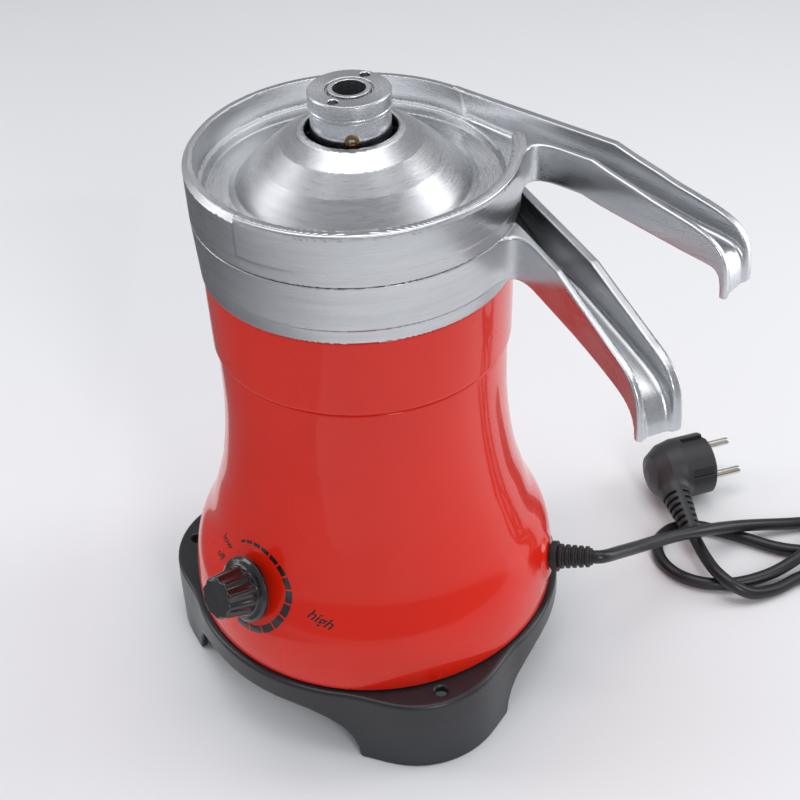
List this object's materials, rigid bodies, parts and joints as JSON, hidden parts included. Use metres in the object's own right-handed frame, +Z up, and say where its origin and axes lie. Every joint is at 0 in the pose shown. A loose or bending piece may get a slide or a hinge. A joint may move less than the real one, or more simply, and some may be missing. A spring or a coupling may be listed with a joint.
{
  "type": "milk cream separator",
  "caption": "Electric milk cream separator: bell housing on a footed base, two stacked receivers with spouts, spinning bowl, speed knob and mains cord.",
  "frame": {"origin": "on the floor, under the middle of the plan outline of the machine without its cord; the spin axis stands at x -30 mm, y +17.4 mm", "axes": "+Z up along the spin axis, -Y towards the user's side with the front foot, +X towards the spouts and the cord"},
  "size_m": [0.5292, 0.2461, 0.3224],
  "materials": {
    "red_enamel": "gloss",
    "base_coating": "semi-gloss",
    "cast_aluminium": "satin brushed",
    "turned_aluminium": "turned",
    "steel": "ground",
    "brass": "turned",
    "copper": "enamelled copper wire and bars",
    "lamination": "stacked sheet",
    "carbon": "carbon",
    "bakelite": "gloss",
    "control_case": "matt",
    "circuit_board": "satin",
    "pale_plastic": "satin",
    "seal_rubber": "matt",
    "black_rubber": "matt",
    "cord_pvc": "satin",
    "nickel": "polished"
  },
  "bodies": {
    "housing": {"bell_housing": "red_enamel", "base_casting": "base_coating", "bottom_cover": "base_coating", "upper_motor_bracket": "cast_aluminium", "lower_motor_bracket": "cast_aluminium", "motor_deck": "cast_aluminium", "brush_holder_right": "brass", "brush_holder_left": "brass", "upper_bearing": "steel", "lower_bearing": "steel", "motor_tie_rod_right": "steel", "motor_tie_rod_left": "steel", "housing_screw_1": "steel", "housing_screw_2": "steel", "housing_screw_3": "steel", "cover_screw_1": "steel", "cover_screw_2": "steel", "cover_screw_3": "steel", "stator_core": "lamination", "field_coil_right": "copper", "field_coil_left": "copper", "carbon_brush_right": "carbon", "carbon_brush_left": "carbon", "speed_control": "control_case", "control_board": "circuit_board", "terminal_block": "pale_plastic", "motor_mount_right": "black_rubber", "motor_mount_left": "black_rubber", "cord_gland": "black_rubber", "power_cord_machine_side": "cord_pvc", "power_cord_plug_side": "cord_pvc", "power_cord_coil": "cord_pvc", "plug_body": "cord_pvc", "plug_pin_1": "nickel", "plug_pin_2": "nickel"},
    "rotor": {"motor_shaft": "steel", "armature_core": "lamination", "commutator": "copper", "cooling_fan": "pale_plastic", "bowl_base": "turned_aluminium", "feed_tube": "turned_aluminium", "bowl_hood": "turned_aluminium", "bowl_seal_ring": "seal_rubber", "bowl_nut": "turned_aluminium", "cream_screw": "brass", "disc_holder": "pale_plastic", "separating_disc_1": "turned_aluminium", "separating_disc_2": "turned_aluminium", "separating_disc_3": "turned_aluminium", "separating_disc_4": "turned_aluminium", "separating_disc_5": "turned_aluminium", "separating_disc_6": "turned_aluminium", "top_disc": "turned_aluminium"},
    "knob": {"speed_knob": "bakelite", "control_shaft": "steel"},
    "skim_receiver": {"skim_milk_receiver": "cast_aluminium"},
    "cream_receiver": {"cream_receiver": "cast_aluminium"}
  },
  "joints": [
    {"name": "bowl_spin", "type": "hinge", "parent": "housing", "child": "rotor", "pos_m": [-0.03, 0.0174, 0.2], "axis": [0, 0, 1], "continuous": true},
    {"name": "knob_turn", "type": "hinge", "parent": "housing", "child": "knob", "pos_m": [-0.0925, -0.0436, 0.0875], "axis": [0.7136, 0.6203, -0.3256], "range_deg": [0, 280]},
    {"name": "skim_receiver_lift", "type": "slide", "parent": "housing", "child": "skim_receiver", "axis": [0, 0, 1], "range_m": [0, 0.12]},
    {"name": "cream_receiver_lift", "type": "slide", "parent": "skim_receiver", "child": "cream_receiver", "axis": [0, 0, 1], "range_m": [0, 0.12]}
  ]
}
